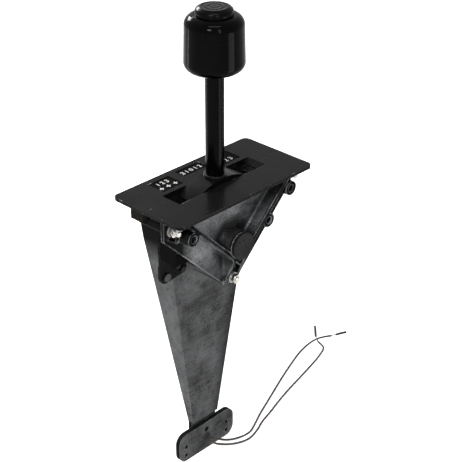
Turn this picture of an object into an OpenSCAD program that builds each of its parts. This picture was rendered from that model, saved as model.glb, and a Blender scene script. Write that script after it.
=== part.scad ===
// Single lever throttle control for a boat console.
// Frame: millimetres, +Z up the lever at rest, +X along the cover plate,
// origin in the plane of the cover plate's underside, on the lever's axis.

/* [Cover plate] */
// Length of the cover plate
plate_l = 160; // [156:1:180]
// Width of the cover plate, both halves together
plate_w = 80; // [78:1:90]
// Thickness of the cover plate
plate_t = 3; // [2.5:0.1:4]
// Corner radius of the cover plate
plate_corner = 5.5; // [2:0.5:8]
// Length of the lever slot
slot_l = 103; // [100:1:110]
// Width of the lever slot
slot_w = 21; // [20.6:0.1:23]
// Depth of the legend recesses
legend_depth = 1.4; // [1:0.1:1.8]
// Thickness of a legend insert
legend_t = 0.8; // [0.4:0.1:0.9]

/* [Lever] */
// Outer diameter of the lever tube
tube_d = 16; // [15:0.5:17]
// Bore of the lever tube
tube_bore = 11; // [10:0.5:12]
// Height of the pivot axis below the cover plate's underside
pivot_drop = 48; // [46:0.5:50]
// Radius of the slot dome about the pivot
dome_r = 56.2; // [55:0.2:58]
// Wall of the slot dome
dome_wall = 2.5; // [1.5:0.1:3]
// Width of the slot dome
dome_w = 19.4; // [18:0.2:19.6]
// Half angle that the slot dome spans
dome_half_angle = 37; // [33:1:38]

/* [Knob] */
// Height of the knob's lower face
knob_z = 101.9; // [95:0.5:115]
// Height of the knob itself
knob_h = 46.7; // [44:0.1:52]
// Radius of the knob at its lower end
knob_r = 25.3; // [24.5:0.1:27]
// Radius of the release button
button_r = 15.6; // [14:0.1:17]
// How far the release button stands out
button_proud = 6.6; // [6:0.1:9]
// Travel of the release button
button_travel = 4; // [2:0.5:5]

/* [Housing] */
// Casting wall
cast_wall = 3.5; // [3:0.1:4]
// Front face of the front housing's plate, in front of the lever axis
web_front = 18; // [17.5:0.1:19]
// Front face of the V rib
rib_front = 30; // [28:0.5:32]
// Distance of the V rib's upper ends from the cover plate's ends
vee_inset = 17.2; // [16:0.1:18]
// Radius of the fillets along the V rib
rib_fillet_r = 2; // [1:0.1:2.5]
// Thickness of the V rib
rib_t = 4; // [3:0.1:4.5]
// Depth of the V plate's lower edges below the cover plate, on the axis
web_drop = 97; // [95:0.5:99]
// Radius of the pivot boss
boss_r = 12; // [11.5:0.1:12.5]
// Front face of the pivot cap
cap_front = 34.3; // [33.5:0.1:36]
// Half width of the channel at pivot depth
channel_hw_top = 49; // [48:0.5:52]
// Half width of the channel at its lower end
channel_hw_end = 16.2; // [15.5:0.1:18]
// Height of the slot between the channel's lower end and the foot plate
foot_slot_h = 5.5; // [5:0.5:12]
// Depth of the channel's back edge behind the lever axis, at the top
channel_back = 38; // [37:0.5:40]
// Depth of the channel's back edge behind the lever axis, at its lower end
channel_back_end = 20.5; // [20:0.5:22]

/* [Foot plate] */
// Length of the foot plate
foot_l = 72; // [66:1:80]
// Height of the foot plate
foot_h = 30.5; // [28:0.5:36]
// Upper edge of the foot plate below the cover plate
foot_top = 258.5; // [250:0.5:270]
// Thickness of the foot plate
foot_t = 5; // [4.5:0.5:6]
// Corner radius of the foot plate
foot_corner = 10; // [6:0.5:12]
// Distance of the cable clip holes from the axis
clip_x = 27; // [24:0.5:28]
// Diameter of the cable clip holes
clip_hole_d = 4.2; // [3.5:0.1:5]

/* [Pivot] */
// Diameter of the pivot shaft
shaft_d = 12; // [11:0.1:12.4]
// Outer diameter of the pivot bushes
bush_d = 16; // [15:0.1:17]
// Radius of the lever hub
hub_r = 14; // [13.5:0.1:14.5]
// Length of the throttle arm from the pivot to the cable swivel
arm_l = 45; // [40:1:46]
// Width of the throttle arm
arm_w = 14; // [13.5:0.5:16]
// Diameter of the cable swivel
swivel_d = 8; // [7:0.5:9]

/* [Fits] */
// Radial clearance of pieces that fit in one another
fit = 0.05; // [0.03:0.01:0.08]
// Gap between flat faces that move past each other
gap = 0.3; // [0.3:0.05:0.4]

/* [Hidden] */
$fn = 64;

// Colours
c_black = [0.10, 0.10, 0.11];
c_cast = [0.45, 0.47, 0.48];
c_zinc = [0.80, 0.80, 0.76];
c_brass = [0.72, 0.58, 0.30];
c_steel = [0.62, 0.63, 0.65];
c_plastic = [0.16, 0.16, 0.17];

// Cover plate
seam = 0.5;
slot_hl = slot_l / 2;
slot_hw = slot_w / 2;
lip_run = 10;
lip_drop = 5;
lip_back = 4;
legend_play = 0.2;
legend_corner = 1;
// Legend recesses: left, right, front and back edges
legend_left_box = [-46, -22, 14.3, 33.9];
legend_middle_box = [-14, 14.5, 22.5, 35];
legend_right_box = [22, 47, 14.5, 34];

// Housing flanges under the cover plate
flange_t = 4;
flange_in = slot_hw + 1;
front_flange_out = 34;
rear_flange_out = 34;
front_flange_hl = plate_l / 2 - 6;
rear_flange_hl = plate_l / 2 - 10.5;
plate_screw_d = 3;
plate_screw_bite = 2;
front_screw_x = front_flange_hl - 3.5;
front_screw_y = 29;
rear_screw_y = 26;

// Front housing
web_back = web_front - cast_wall;
vee_drop = plate_l / 2 - vee_inset;
vee_out = vee_drop + rib_t * sqrt(2);
web_hl = plate_l / 2 - 3;
web_end_hw = 7;
ear_r = 6.5;
ear_hole_d = 6.4;
// Mounting ears: along the plate, below the plate
ears = [[8 - vee_drop, 21.1], [vee_drop + 0.5, 17.8], [vee_drop - 27.3, 38.4]];
nose_hw = 8.5;
nose_wall = 2.5;
nose_top = vee_out - nose_hw;
nose_end = web_drop - 7;
skirt_hw = 28;
skirt_wall = 4;
leaf_lug_x = 17;

// Rear housing
rear_face = 9;
rear_face_top = 11.5;
rear_step = 60;
foot_bottom = foot_top + foot_h;
channel_end = foot_top - foot_slot_h;
past_back = channel_back + 22;
channel_slope = (channel_hw_top - channel_hw_end) / (channel_end - pivot_drop);
rear_screw_x = (channel_hw(0) + rear_flange_hl) / 2;
face_break = 95;
face_end = 14.5;
foot_face = 12.7;
rear_boss_front = 9.2;
rear_boss_back = 22;
foot_web = 12;
clip_z = [foot_bottom - 6.5, foot_bottom - 16];
centre_hole_z = foot_top + 8.3;
centre_hole_d = 5.4;
grommet_z = foot_top + 17;
grommet_hole_d = 7;

// Corner bolts between the two housings
// Places: along the plate, below the plate
corners = [[11 - plate_l / 2, 11.5], [plate_l / 2 - 8, 9.5]];
bolt_d = 5;
bolt_boss_r = 5;
bolt_head_r = 4.3;
bolt_head_h = 3;
bolt_end = 10;
nut_h = 4;
nut_r = 4.6;
washer_t = 1;
washer_r = 5;
gusset_drop = 22;
lower_z = 84;
lower_seat = 20.5;
lower_head_h = 5;
// Packing strip: length, width and depth, and its place from the plate's left end
packing = [4.8, 14.5, 9];
packing_inset = 0.5;
packing_y = 3.5;

// Lever parts
hub_front = 10.3;
hub_back = 7.6;
socket_r = 11;
socket_top = 24;
socket_floor = 36;
pin_z = -socket_top - 5;
pin_d = 4;
tube_top = 126;
cam_r = 26.2;
cam_front = 6.5;
cam_back = 0.5;
notch_r = 2.6;
leaf_t = 0.8;
leaf_y = [-12, -5.5];
leaf_mid = (leaf_y[0] + leaf_y[1]) / 2;
leaf_screw_d = 3;
lug_t = 5;
leaf_top = pivot_drop + hub_r + 0.6;
dome_skirt = 10;
dome_cheek = 1.8;
dome_cheek_angle = 30;

// Knob and button
knob_round_low = 7.7;
knob_round_top = 8.2;
knob_top_r = knob_r - 0.9;
knob_taper_z = knob_z + knob_round_low;
bush_r = 10;
bush_top = 124;
cavity_floor = 128;
cavity_clear = 0.08;
button_skirt = 13;
button_wall = 2.2;
button_top_r = button_r - 1.6;
button_round = 4.3;
rod_d = 5;
rod_play = 0.3;
spring_wire = 1.2;
spring_r = 8;
spring_turns = 4;

// Rear arm
arm_y = [24, 29];
shaft_front = 29;
shaft_neck_d = 8;
shaft_back = 36.5;
swivel_head_r = 6;
swivel_flat = 5.2;
swivel_rod_d = 5;
swivel_rod_y = arm_y[1] + 4;

// Neutral switch
sw_x = [-59.5, -36];
sw_y = [-13, 6];
sw_z = [-52, -34];
sw_mid_y = -3.5;
plunger_d = 4;
plunger_z = -43;
plunger_out = 2.4;
roller_r = 3;
roller_x = -29.5;
roller_z = -50;
arm_pin_x = -33.6;
arm_pin_z = -37.5;
bracket_y = [6, 9];
sw_holes = [[-56, -38], [-40, -48.5]];
bracket_holes = [[-34.8, -71.7], [-40.5, -65.8]];
lead_ear = [-53.5, -71.7];
lead_ear_r = 6.5;
bracket_top = [[-56, -37], [-38, -37]];
bracket_top_r = 3.5;
bracket_low = [-34.8, -70.5];
bracket_low_r = 5.5;

// Leads: points along each route, in order from the grommet
lead_d = 2;
lead_sides = 8;
lead_one_route = [[-1.2, 12.2, -275.4], [-1.6, 9.4, -275.9], [-1.8, 6.4, -276.7], [0, 2.4, -277.8], [3.4, -0.8, -279.2],
    [12.4, -6.1, -281.6], [24, -8.6, -284.6], [37.6, -8.4, -287.4], [52, -4.6, -288], [66, 1, -288],
    [82, 5.5, -288],
    [105, 12.5, -288], [128, 18.5, -288], [148, 23, -288], [169, 28, -288], [183, 31.5, -288],
    [194, 35, -288], [202, 38, -288], [207, 42, -288], [209, 47, -288], [211, 53, -288],
    [215, 59, -288], [223, 66.5, -288], [231, 74, -288]];
lead_two_route = [[1.2, 12.2, -275.1], [1.7, 10.2, -275.6], [3.8, 7.7, -277.2], [7.9, 4.6, -278.8], [15.9, -0.2, -281.6],
    [28.8, -2.6, -284.8], [45, -1.6, -287.6], [61, 5.2, -288],
    [74, 11.3, -288], [100, 22, -288], [129, 34, -288], [156, 44.4, -288], [182, 53.2, -288],
    [200, 55.4, -286.6], [210, 54.2, -285.6], [220, 52, -286.4], [230, 48.8, -288], [239, 45.2, -288],
    [246, 42, -288]];

// Half width of the channel at a depth below the cover plate
function channel_hw(depth) = channel_hw_top + channel_slope * (pivot_drop - depth);

// Cylinder along Y between two faces
module along_y(x, z, r, y0, y1) {
    translate([x, y0, z])
        rotate([-90, 0, 0]) cylinder(r = r, h = y1 - y0);
}

// Profile drawn in X and Z, extruded along Y between two faces
module slab_y(y0, y1) {
    translate([0, y1, 0])
        rotate([90, 0, 0]) linear_extrude(y1 - y0) children();
}

// Profile drawn in Y and Z, extruded along X over a half length each way
module slab_x(half) {
    translate([-half, 0, 0])
        rotate([90, 0, 90]) linear_extrude(2 * half) children();
}

// Rectangle with round corners, from edges and a radius
module round_rect(x0, x1, y0, y1, r) {
    translate([x0 + r, y0]) square([x1 - x0 - 2 * r, y1 - y0]);
    translate([x0, y0 + r]) square([x1 - x0, y1 - y0 - 2 * r]);
    for (x = [x0 + r, x1 - r], y = [y0 + r, y1 - r])
        translate([x, y]) circle(r);
}

// Hexagon nut along Y, with its back face at y1
module nut_y(x, z, y0, y1, hole_r) {
    difference() {
        translate([x, y0, z])
            rotate([-90, 0, 0]) cylinder(r = nut_r, h = y1 - y0, $fn = 6);
        along_y(x, z, hole_r, y0 - 1, y1 + 1);
    }
}

// Flat washer along Y
module ring_y(x, z, r_out, r_in, y0, y1) {
    difference() {
        along_y(x, z, r_out, y0, y1);
        along_y(x, z, r_in, y0 - 1, y1 + 1);
    }
}

// Flat ring along Z
module ring_z(r_out, r_in, z0, z1) {
    difference() {
        translate([0, 0, z0]) cylinder(r = r_out, h = z1 - z0);
        translate([0, 0, z0 - 1]) cylinder(r = r_in, h = z1 - z0 + 2);
    }
}

// Outline of the cover plate
module plate_outline() {
    round_rect(-plate_l / 2, plate_l / 2, -plate_w / 2, plate_w / 2, plate_corner);
}

// One half of the cover plate, side is -1 for the front and 1 for the rear
module plate_half(side) {
    y_in = side > 0 ? seam / 2 : -plate_w;
    difference() {
        union() {
            linear_extrude(plate_t)
                intersection() {
                    plate_outline();
                    translate([-plate_l, y_in]) square([2 * plate_l, plate_w - seam / 2]);
                }
            for (end = [-1, 1]) plate_lip(end, side);
        }
        translate([-slot_hl + lip_run / 2, -slot_hw, -plate_t])
            cube([slot_l - lip_run, slot_w, 3 * plate_t]);
        for (end = [-1, 1]) lip_slope(end);
        screw_x = side > 0 ? rear_screw_x : front_screw_x;
        screw_y = side > 0 ? rear_screw_y : -front_screw_y;
        for (x = [-screw_x, screw_x])
            translate([x, screw_y, -1]) cylinder(d = plate_screw_d + 2 * fit, h = plate_screw_bite + 1);
    }
}

// Lip that closes the slot's end below the plate
module plate_lip(end, side) {
    y0 = side > 0 ? seam / 2 : -slot_hw;
    x0 = slot_hl - lip_run;
    run = lip_run + lip_back;
    translate([end > 0 ? x0 : -x0 - run, y0, -lip_drop])
        cube([run, slot_hw - seam / 2, lip_drop + plate_t / 2]);
}

// Cut that gives the slot's end wall its slope
module lip_slope(end) {
    slab_y(-slot_hw, slot_hw)
        polygon([[end * slot_hl, plate_t + 0.01], [end * (slot_hl - lip_run), -lip_drop - 0.01],
            [0, -lip_drop - 0.01], [0, plate_t + 0.01]]);
}

module legend_recess(box) {
    translate([0, 0, plate_t - legend_depth])
        linear_extrude(legend_depth + 1) round_rect(box[0], box[1], box[2], box[3], legend_corner);
}

module legend_insert(box) {
    translate([0, 0, plate_t - legend_depth])
        linear_extrude(legend_t)
            round_rect(box[0] + legend_play, box[1] - legend_play, box[2] + legend_play,
                box[3] - legend_play, legend_corner);
}

module top_plate_front() {
    color(c_black) plate_half(-1);
}

module top_plate_rear() {
    color(c_black)
        difference() {
            plate_half(1);
            legend_recess(legend_left_box);
            legend_recess(legend_middle_box);
            legend_recess(legend_right_box);
        }
}

module legend_left() {
    color(c_plastic) legend_insert(legend_left_box);
}

module legend_middle() {
    color(c_plastic) legend_insert(legend_middle_box);
}

module legend_right() {
    color(c_plastic) legend_insert(legend_right_box);
}

// Screws that hold the cover plate from below
module plate_screws() {
    head_h = 2;
    color(c_zinc)
        for (p = [[-front_screw_x, -front_screw_y], [front_screw_x, -front_screw_y],
            [-rear_screw_x, rear_screw_y], [rear_screw_x, rear_screw_y]])
            translate([p[0], p[1], 0]) {
                translate([0, 0, -flange_t - head_h]) cylinder(d = 2 * plate_screw_d, h = head_h);
                translate([0, 0, -flange_t - 0.5])
                    cylinder(d = plate_screw_d, h = flange_t + 0.3 + plate_screw_bite);
            }
}

// Fibre packing strip under the plate's end
module end_packing() {
    color([0.55, 0.50, 0.44])
        translate([packing_inset - plate_l / 2, packing_y, -packing[2]]) cube(packing);
}

// The V plate's outline: wide under the cover plate, narrow at the bottom
module web_outline() {
    polygon([[-web_hl, 0], [-web_hl, web_hl - web_drop], [-web_end_hw, web_end_hw - web_drop],
        [web_end_hw, web_end_hw - web_drop], [web_hl, web_hl - web_drop], [web_hl, 0]]);
}

// A V band between two depths on the axis
module vee_band(inner, outer) {
    polygon([[-inner, 0], [0, -inner], [inner, 0], [outer, 0], [0, -outer], [-outer, 0]]);
}

// Section of a concave fillet on the V plate's front face, beside a wall on the side s points away from
module fillet_section(s, r) {
    difference() {
        translate([s > 0 ? -0.2 : -r, -r]) square([r + 0.2, r + 0.2]);
        translate([s * r, -r]) circle(r);
    }
}

// Fillets along one side of the V rib's two arms, from x0 outward, side is 1 outside and -1 inside
module rib_fillets(depth, side, x0) {
    r = rib_fillet_r;
    for (arm = [-1, 1])
        translate([arm * x0, -web_front, x0 - depth])
            rotate([0, 45 * arm, 0])
                linear_extrude((depth - x0 - 0.3) * sqrt(2) - r) fillet_section(arm * side, r);
}

// Concave fillet round the pivot boss
module boss_fillet(r) {
    translate([0, -web_front, -pivot_drop])
        rotate([90, 0, 0])
            rotate_extrude()
                difference() {
                    translate([boss_r - 0.5, -0.5]) square([r + 0.5, r + 0.5]);
                    translate([boss_r + r, r]) circle(r);
                }
}

module front_housing() {
    color(c_cast)
        difference() {
            union() {
                slab_y(-web_front, -web_back) web_outline();
                translate([-front_flange_hl, -front_flange_out, -flange_t])
                    cube([2 * front_flange_hl, front_flange_out - flange_in, flange_t]);
                slab_y(-rib_front, -web_front) vee_band(vee_drop, vee_out);
                rib_fillets(vee_drop, -1, 0);
                rib_fillets(vee_out, 1, nose_hw - nose_wall / 2 - 0.3);
                for (e = ears) along_y(e[0], -e[1], ear_r, -rib_front, -web_front);
                along_y(0, -pivot_drop, boss_r, 3.3 - cap_front, -web_back);
                boss_fillet(4);
                nose();
                bottom_skirt();
                detent_lug();
            }
            for (e = ears) along_y(e[0], -e[1], ear_hole_d / 2, -rib_front - 1, 0);
            along_y(0, -pivot_drop, bush_d / 2 + fit, -cap_front, 0);
            for (c = corners) along_y(c[0], -c[1], bolt_d / 2 + fit, -web_front - 1, 0);
            along_y(0, -lower_z, bolt_d / 2 + fit, -web_front - 4, rear_face + 1);
            slab_y(-web_front - 1, 0) left_window();
            for (x = [-front_screw_x, front_screw_x])
                translate([x, -front_screw_y, -flange_t - 1])
                    cylinder(d = plate_screw_d + 2 * fit, h = flange_t + 2);
            translate([leaf_lug_x + 5, leaf_mid, -leaf_top - 8]) cylinder(d = leaf_screw_d + 2 * fit, h = 9);
        }
}

// Opening in the V plate beside the left corner bolt
module left_window() {
    translate([corners[0][0], -corners[0][1]])
        polygon([[-4, -7], [7.5, -14.8], [9.2, -7.5], [8.5, 0.5], [6, 2.5], [5.5, -5.5]]);
}

// Two tapered ribs below the V's corner, with the lower bolt's seat between them
module nose() {
    for (side = [-1, 1])
        translate([side > 0 ? nose_hw - nose_wall : -nose_hw, 0, 0])
            rotate([90, 0, 90])
                linear_extrude(nose_wall)
                    polygon([[-web_front + 0.5, -nose_top + 3], [-rib_front, -nose_top + 3],
                        [-rib_front, -nose_top - 3], [-web_front, -nose_end], [-web_front + 0.5, -nose_end]]);
    // Fillets on the ribs' outer sides stop where the ribs get too low for them
    for (side = [-1, 1])
        translate([side * nose_hw, -web_front, 5 - nose_end])
            linear_extrude(nose_end - nose_top - 2) fillet_section(side, rib_fillet_r);
    along_y(0, -lower_z, washer_r + 0.5, -lower_seat, -web_front);
}

// Wall that closes the two housings together round the bottom of the V
module bottom_skirt() {
    slab_y(-web_back, rear_face)
        intersection() {
            difference() {
                web_outline();
                translate([0, skirt_wall * sqrt(2)]) web_outline();
                translate([-web_end_hw, skirt_wall + web_end_hw - web_drop])
                    square([2 * web_end_hw, web_drop]);
            }
            translate([-skirt_hw, -web_drop]) square([2 * skirt_hw, 40]);
        }
    along_y(0, -lower_z, bolt_d + 1, -web_back, rear_face);
}

// Lug that carries the detent spring
module detent_lug() {
    translate([leaf_lug_x, -web_back, -leaf_top - leaf_t - lug_t]) cube([10, web_back - 4, lug_t]);
}

// Outer form of the rear casting's channel
module channel_form() {
    intersection() {
        slab_y(0, past_back)
            polygon([for (p = [[-1, 0], [-1, 1], [1, 1], [1, 0]])
                [p[0] * channel_hw(p[1] > 0 ? foot_top + foot_web : 0), p[1] > 0 ? -foot_top - foot_web : 0]]);
        slab_x(plate_l / 2)
            polygon([[rear_face_top, 0], [rear_face_top, -rear_step], [rear_face, -rear_step - 2.5],
                [rear_face, -face_break], [face_end, -channel_end], [face_end, -foot_top - foot_web],
                [channel_back_end, -foot_top - foot_web], [channel_back_end, -channel_end],
                [channel_back, -pivot_drop], [channel_back, 0]]);
    }
}

// Inside of the channel, open at the back
module channel_inside() {
    w = cast_wall;
    intersection() {
        slab_y(0, past_back)
            polygon([for (p = [[-1, 0], [-1, 1], [1, 1], [1, 0]])
                [p[0] * (channel_hw(p[1] > 0 ? foot_top + foot_web : flange_t) - w),
                    p[1] > 0 ? -foot_top - foot_web - 0.1 : -flange_t]]);
        slab_x(plate_l / 2)
            polygon([[rear_face_top + w, 0], [rear_face_top + w, -rear_step - 1],
                [rear_face + w, -rear_step - 3.5], [rear_face + w, -face_break],
                [face_end + w, -channel_end], [face_end + w, -foot_top - foot_web - 1],
                [past_back, -foot_top - foot_web - 1], [past_back, 0]]);
    }
}

// Foot plate outline in X and Z
module foot_outline() {
    difference() {
        round_rect(-foot_l / 2, foot_l / 2, -foot_bottom, -foot_top, foot_corner);
        for (x = [-clip_x, clip_x], z = clip_z)
            translate([x, -z]) circle(d = clip_hole_d);
        translate([0, -centre_hole_z]) circle(d = centre_hole_d);
    }
}

module rear_housing() {
    side_in = channel_hw(channel_end) - cast_wall;
    color(c_cast)
        difference() {
            union() {
                difference() {
                    channel_form();
                    channel_inside();
                    // Slot across the front wall, above the foot plate
                    slab_y(0, face_end + cast_wall + 0.1)
                        polygon([[-side_in - 10, -channel_end], [side_in + 10, -channel_end],
                            [side_in + 10, -foot_top - foot_web - 1], [-side_in - 10, -foot_top - foot_web - 1]]);
                }
                slab_y(foot_face, foot_face + foot_t) foot_outline();
                slab_y(foot_face + foot_t - 0.3, channel_back_end) {
                    foot_cheeks();
                    // Wall behind the slot
                    translate([-side_in - 1, -foot_top - 4]) square([2 * side_in + 2, foot_top + 10 - channel_end]);
                }
                translate([-rear_flange_hl, flange_in, -flange_t])
                    cube([2 * rear_flange_hl, rear_flange_out - flange_in, flange_t]);
                along_y(0, -pivot_drop, boss_r, rear_boss_front, rear_boss_back);
                for (c = corners) corner_post(c[0], c[1]);
                for (x = [-1, 1]) back_ledge(x);
            }
            along_y(0, -pivot_drop, bush_d / 2 + fit, 0, 30);
            for (c = corners) along_y(c[0], -c[1], bolt_d / 2 + fit, -web_front, 2 * rear_boss_back);
            along_y(0, -lower_z, bolt_d / 2 + fit, 0, 30);
            for (h = bracket_holes) along_y(h[0], h[1], 1.5 + fit, 0, 30);
            for (x = [-rear_screw_x, rear_screw_x])
                translate([x, rear_screw_y, -flange_t - 1])
                    cylinder(d = plate_screw_d + 2 * fit, h = flange_t + 2);
            along_y(0, -grommet_z, grommet_hole_d / 2, 0, 30);
        }
}

// Walls that join the foot plate to the channel's sides
module foot_cheeks() {
    hw = channel_hw(channel_end);
    for (s = [-1, 1])
        translate([s > 0 ? hw - cast_wall : -hw, -foot_top - foot_web])
            square([cast_wall, foot_web + 8]);
}

// Post of the rear housing that a corner bolt passes through
module corner_post(x, depth) {
    inner_x = channel_hw(0) - cast_wall + 0.5;
    s = sign(x);
    along_y(x, -depth, bolt_boss_r, -web_back, flange_in + cast_wall);
    slab_y(flange_in, flange_in + cast_wall)
        polygon([[s * inner_x, 0.5 - flange_t], [x, 0.5 - flange_t], [x, -depth - bolt_boss_r],
            [s * inner_x, -gusset_drop]]);
}

// Rib along the channel's back edge
module back_ledge(s) {
    intersection() {
        channel_form();
        slab_y(channel_back - 3, channel_back + 1)
            polygon([[s * channel_hw(0), -flange_t], [s * channel_hw(pivot_drop), -pivot_drop],
                [s * (channel_hw(pivot_drop) - 6), -pivot_drop], [s * (channel_hw(0) - 6), -flange_t]]);
    }
}

module pivot_cap() {
    color(c_cast) {
        along_y(0, -pivot_drop, boss_r, -cap_front, 3.3 - cap_front);
        along_y(0, -pivot_drop, bush_d / 2, 3 - cap_front, -shaft_front - gap);
    }
}

module front_bush() {
    color(c_brass)
        ring_y(0, -pivot_drop, bush_d / 2, shaft_d / 2 + fit, -shaft_front, -web_back);
}

module rear_bush() {
    color(c_brass)
        ring_y(0, -pivot_drop, bush_d / 2, shaft_d / 2 + fit, rear_boss_front, rear_boss_back);
}

// Fibre washer that gives the lever its drag
module friction_washer() {
    color([0.5, 0.36, 0.24])
        ring_y(0, -pivot_drop, hub_r - 2, shaft_d / 2 + gap, -web_back, -hub_front - gap);
}

module thrust_washer() {
    color(c_brass)
        ring_y(0, -pivot_drop, boss_r - 1, shaft_d / 2 + gap, hub_back + gap, rear_boss_front);
}

// Bolts that hold the housings together at the upper corners
module corner_bolts() {
    head_y = flange_in + cast_wall;
    color(c_zinc)
        for (c = corners) {
            along_y(c[0], -c[1], bolt_d / 2, -web_front - bolt_end, head_y + 1);
            along_y(c[0], -c[1], bolt_head_r, head_y, head_y + bolt_head_h);
        }
}

module corner_nuts() {
    color(c_zinc)
        for (c = corners)
            nut_y(c[0], -c[1], -web_front - washer_t - nut_h, -web_front - washer_t, bolt_d / 2 + fit);
}

module corner_washers() {
    color(c_zinc)
        for (c = corners)
            ring_y(c[0], -c[1], washer_r, bolt_d / 2 + fit, -web_front - washer_t, -web_front);
}

// Bolt at the bottom of the V
module lower_bolt() {
    back = rear_face + cast_wall + washer_t;
    color(c_zinc) {
        along_y(0, -lower_z, bolt_d / 2, -lower_seat - 3, back + nut_h + 1.5);
        along_y(0, -lower_z, bolt_head_r, -lower_seat - 2 - lower_head_h, -lower_seat - 2);
    }
}

module lower_nut() {
    back = rear_face + cast_wall + washer_t;
    color(c_zinc) nut_y(0, -lower_z, back, back + nut_h, bolt_d / 2 + fit);
}

module lower_washers() {
    back = rear_face + cast_wall;
    color(c_zinc) {
        ring_y(0, -lower_z, washer_r, bolt_d / 2 + fit, back, back + washer_t);
        ring_y(0, -lower_z, washer_r, bolt_d / 2 + fit, -lower_seat - 0.9, -lower_seat);
        ring_y(0, -lower_z, washer_r - 0.8, bolt_d / 2 + fit, -lower_seat - 2, -lower_seat - 0.9);
    }
}

// Leaf spring whose bump sits in the hub's neutral notch
module detent_leaf() {
    end_x = leaf_lug_x + 9;
    color(c_steel)
        difference() {
            union() {
                slab_y(leaf_y[0], leaf_y[1])
                    translate([-7, -leaf_top - leaf_t]) square([end_x + 7, leaf_t]);
                slab_y(leaf_y[0], leaf_y[1])
                    intersection() {
                        translate([0, -leaf_top]) circle(notch_r - 0.9);
                        translate([-5, -leaf_top - leaf_t / 2]) square([10, 5]);
                    }
            }
            translate([leaf_lug_x + 5, leaf_mid, -leaf_top - 3]) cylinder(d = leaf_screw_d + 2 * fit, h = 6);
        }
}

module detent_screw() {
    color(c_zinc)
        translate([leaf_lug_x + 5, leaf_mid, -leaf_top]) {
            cylinder(d = 5.6, h = 1.8);
            translate([0, 0, -leaf_t - lug_t]) cylinder(d = leaf_screw_d, h = leaf_t + lug_t + 0.2);
        }
}

// Body of the neutral switch
module switch_body() {
    color(c_plastic)
        difference() {
            union() {
                translate([sw_x[0], sw_y[0], sw_z[0]])
                    cube([sw_x[1] - sw_x[0], sw_y[1] - sw_y[0], sw_z[1] - sw_z[0]]);
                // Ears that hold the arm's pin
                for (y = [sw_mid_y - 5.3, sw_mid_y + 3.3])
                    slab_y(y, y + 2)
                        difference() {
                            translate([sw_x[1] - 1, arm_pin_z - 2.4]) square([5.5, 4.8]);
                            translate([arm_pin_x, arm_pin_z]) circle(1 + fit);
                        }
            }
            translate([sw_x[1] - 9, sw_mid_y, plunger_z])
                rotate([0, 90, 0]) cylinder(d = plunger_d + 2 * fit, h = 12);
            for (h = sw_holes) {
                along_y(h[0], h[1], 1.5 + fit, sw_y[0] - 1, sw_y[1] + 1);
                along_y(h[0], h[1], 3, sw_y[0] - 1, sw_y[0] + 2);
            }
        }
}

module switch_plunger() {
    color([0.75, 0.2, 0.15])
        translate([sw_x[1] - 6, sw_mid_y, plunger_z])
            rotate([0, 90, 0]) cylinder(d = plunger_d, h = 6 + plunger_out - gap - 0.6);
}

// Pressed steel arm with its pin and roller
module switch_arm() {
    arm_face = sw_x[1] + plunger_out - 0.6;
    color(c_steel) {
        slab_y(sw_mid_y - 3, sw_mid_y + 3)
            difference() {
                union() {
                    translate([arm_face, roller_z - 1]) square([1, arm_pin_z - roller_z + 2.2]);
                    translate([arm_pin_x, arm_pin_z]) circle(1.9);
                }
                translate([arm_pin_x - 4, arm_pin_z - 4]) square([arm_face - arm_pin_x + 4, 8]);
            }
        for (y = [sw_mid_y - 3, sw_mid_y + 2])
            slab_y(y, y + 1)
                polygon([[arm_face, roller_z + 3.5], [roller_x + 1.6, roller_z + 1.4],
                    [roller_x + 1.6, roller_z - 1.6], [arm_face, roller_z - 1]]);
        along_y(arm_pin_x, arm_pin_z, 1, sw_mid_y - 5.3, sw_mid_y + 5.3);
        along_y(roller_x, roller_z, roller_r, sw_mid_y - 1.8, sw_mid_y + 1.8);
        along_y(roller_x, roller_z, 0.9, sw_mid_y - 3, sw_mid_y + 3);
    }
}

// Bracket that carries the switch and the lead screw
module switch_bracket() {
    color(c_cast)
        difference() {
            slab_y(bracket_y[0], bracket_y[1])
                difference() {
                    hull() {
                        for (p = bracket_top) translate(p) circle(bracket_top_r, $fn = 32);
                        translate(lead_ear) circle(lead_ear_r, $fn = 32);
                        translate(bracket_low) circle(bracket_low_r, $fn = 32);
                    }
                    translate([sw_x[0] - 16.5, -60]) square([17, 12]);
                }
            for (h = sw_holes) along_y(h[0], h[1], 1.5 + fit, 0, 20);
            for (h = bracket_holes) along_y(h[0], h[1], 1.5 + fit, 0, 20);
            along_y(lead_ear[0], lead_ear[1], 2 + fit, 0, 20);
        }
}

// Pan head screw along Y, head towards the front
module pan_screw(p, d, head_d, y_head, y_seat, y_end) {
    along_y(p[0], p[1], head_d / 2, y_head, y_seat);
    along_y(p[0], p[1], d / 2, y_seat - 0.2, y_end);
}

module switch_screws() {
    color(c_zinc)
        for (h = sw_holes) pan_screw(h, 3, 5.6, sw_y[0] + 0.2, sw_y[0] + 2, bracket_y[1]);
}

module bracket_screws() {
    color(c_zinc)
        for (h = bracket_holes)
            pan_screw(h, 3, 5.6, bracket_y[0] - 2, bracket_y[0], rear_face + cast_wall + 1);
}

module lead_screw() {
    color(c_zinc) pan_screw(lead_ear, 4, 7.6, bracket_y[0] - 2.6, bracket_y[0], bracket_y[1] + 5);
}

module lead_nut() {
    color(c_zinc)
        difference() {
            translate([lead_ear[0], bracket_y[1], lead_ear[1]])
                rotate([-90, 0, 0]) cylinder(r = 3.9, h = 3.2, $fn = 6);
            along_y(lead_ear[0], lead_ear[1], 2 + fit, 0, 20);
        }
}

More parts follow.
